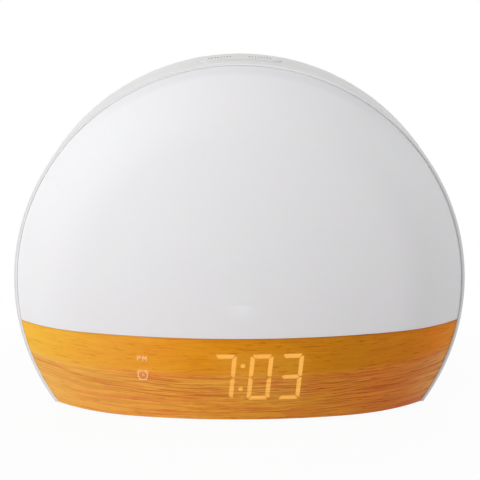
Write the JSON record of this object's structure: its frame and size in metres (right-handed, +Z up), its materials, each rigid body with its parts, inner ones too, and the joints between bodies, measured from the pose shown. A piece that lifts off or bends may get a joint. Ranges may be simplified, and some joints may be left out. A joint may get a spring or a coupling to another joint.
{
  "type": "sunrise alarm clock",
  "caption": "Half-round sunrise alarm clock: opal light cover over a wood-look front with a glowing time display, on a white housing with keys and a speaker behind.",
  "frame": {"origin": "middle of the underside's bounding rectangle, on the surface that the clock stands on", "axes": "+X to the right seen from the front, -Y towards the front, +Z up"},
  "size_m": [0.19, 0.085, 0.1488],
  "materials": {
    "opal_plastic": "satin opal, lets light through",
    "wood_vinyl": "satin",
    "housing_white": "fine satin",
    "key_plastic": "satin",
    "reflector_white": "matte",
    "base_white": "matte",
    "foot_rubber": "matte",
    "gasket_foam": "matte foam",
    "surround_rubber": "satin",
    "screw_steel": "zinc plated",
    "white_board": "white solder mask",
    "green_board": "green solder mask",
    "led_phosphor": "clear over yellow",
    "amber_cells": "lit resin",
    "dark_cells": "milky resin",
    "clear_guide": "milky",
    "black_resin": "matte",
    "plunger_plastic": "satin",
    "connector_plastic": "satin",
    "capacitor_can": "sleeved can",
    "socket_steel": "nickel plated",
    "cell_steel": "satin",
    "contact_nickel": "bright",
    "frame_steel": "black",
    "ferrite": "matte",
    "cone_paper": "matte",
    "ribbon_grey": "satin",
    "lead_red": "satin"
  },
  "bodies": {
    "clock": {"base_plate": "base_white", "base_screws": "screw_steel", "board_capacitors": "capacitor_can", "board_chips": "black_resin", "board_connectors": "connector_plastic", "cell_contacts": "contact_nickel", "coin_cell": "cell_steel", "display_board": "green_board", "display_light_box": "reflector_white", "display_ribbon": "ribbon_grey", "display_screws": "screw_steel", "front_diffuser": "opal_plastic", "housing_screws": "screw_steel", "indicator_light_guide": "clear_guide", "key_board": "green_board", "key_board_screws": "screw_steel", "key_ribbon": "ribbon_grey", "led_board": "white_board", "led_board_screws": "screw_steel", "led_emitters": "led_phosphor", "light_frame": "reflector_white", "light_leads": "lead_red", "lit_segments": "amber_cells", "main_board": "green_board", "main_board_screws": "screw_steel", "rear_housing": "housing_white", "rear_switches": "black_resin", "rubber_feet": "foot_rubber", "speaker_cone": "cone_paper", "speaker_frame": "frame_steel", "speaker_gasket": "gasket_foam", "speaker_leads": "lead_red", "speaker_magnet": "ferrite", "speaker_screws": "screw_steel", "speaker_surround": "surround_rubber", "top_board_screws": "screw_steel", "top_key_board": "green_board", "top_key_leads": "lead_red", "top_switches": "black_resin", "unlit_segments": "dark_cells", "usb_socket": "socket_steel", "wood_panel": "wood_vinyl"},
    "battery_cap": {"battery_cap": "base_white"},
    "top_key": {"top_key": "housing_white", "top_plungers": "plunger_plastic"},
    "key_time": {"rear_key_time": "key_plastic", "plunger_time": "plunger_plastic"},
    "key_alarm": {"rear_key_alarm": "key_plastic", "plunger_alarm": "plunger_plastic"},
    "key_sound": {"rear_key_sound": "key_plastic", "plunger_sound": "plunger_plastic"},
    "key_light": {"rear_key_light": "key_plastic", "plunger_light": "plunger_plastic"},
    "key_down": {"rear_key_down": "key_plastic", "plunger_down": "plunger_plastic"},
    "key_up": {"rear_key_up": "key_plastic", "plunger_up": "plunger_plastic"}
  },
  "joints": [
    {"name": "press_time", "type": "slide", "parent": "clock", "child": "key_time", "axis": [0, -1, 0], "range_m": [0, 0.0005], "stiffness_N_per_m": 600, "springref_m": -0.001},
    {"name": "press_alarm", "type": "slide", "parent": "clock", "child": "key_alarm", "axis": [0, -1, 0], "range_m": [0, 0.0005], "stiffness_N_per_m": 600, "springref_m": -0.001},
    {"name": "press_sound", "type": "slide", "parent": "clock", "child": "key_sound", "axis": [0, -1, 0], "range_m": [0, 0.0005], "stiffness_N_per_m": 600, "springref_m": -0.001},
    {"name": "press_light", "type": "slide", "parent": "clock", "child": "key_light", "axis": [0, -1, 0], "range_m": [0, 0.0005], "stiffness_N_per_m": 600, "springref_m": -0.001},
    {"name": "press_down", "type": "slide", "parent": "clock", "child": "key_down", "axis": [0, -1, 0], "range_m": [0, 0.0005], "stiffness_N_per_m": 600, "springref_m": -0.001},
    {"name": "press_up", "type": "slide", "parent": "clock", "child": "key_up", "axis": [0, -1, 0], "range_m": [0, 0.0005], "stiffness_N_per_m": 600, "springref_m": -0.001},
    {"name": "press_top", "type": "slide", "parent": "clock", "child": "top_key", "axis": [0, 0, -1], "range_m": [0, 0.0005], "stiffness_N_per_m": 800, "springref_m": -0.001},
    {"name": "cap_turn", "type": "hinge", "parent": "clock", "child": "battery_cap", "pos_m": [0.036, 0.0243, 0.0018], "axis": [0, 0, 1], "range_deg": [0, 60]}
  ]
}
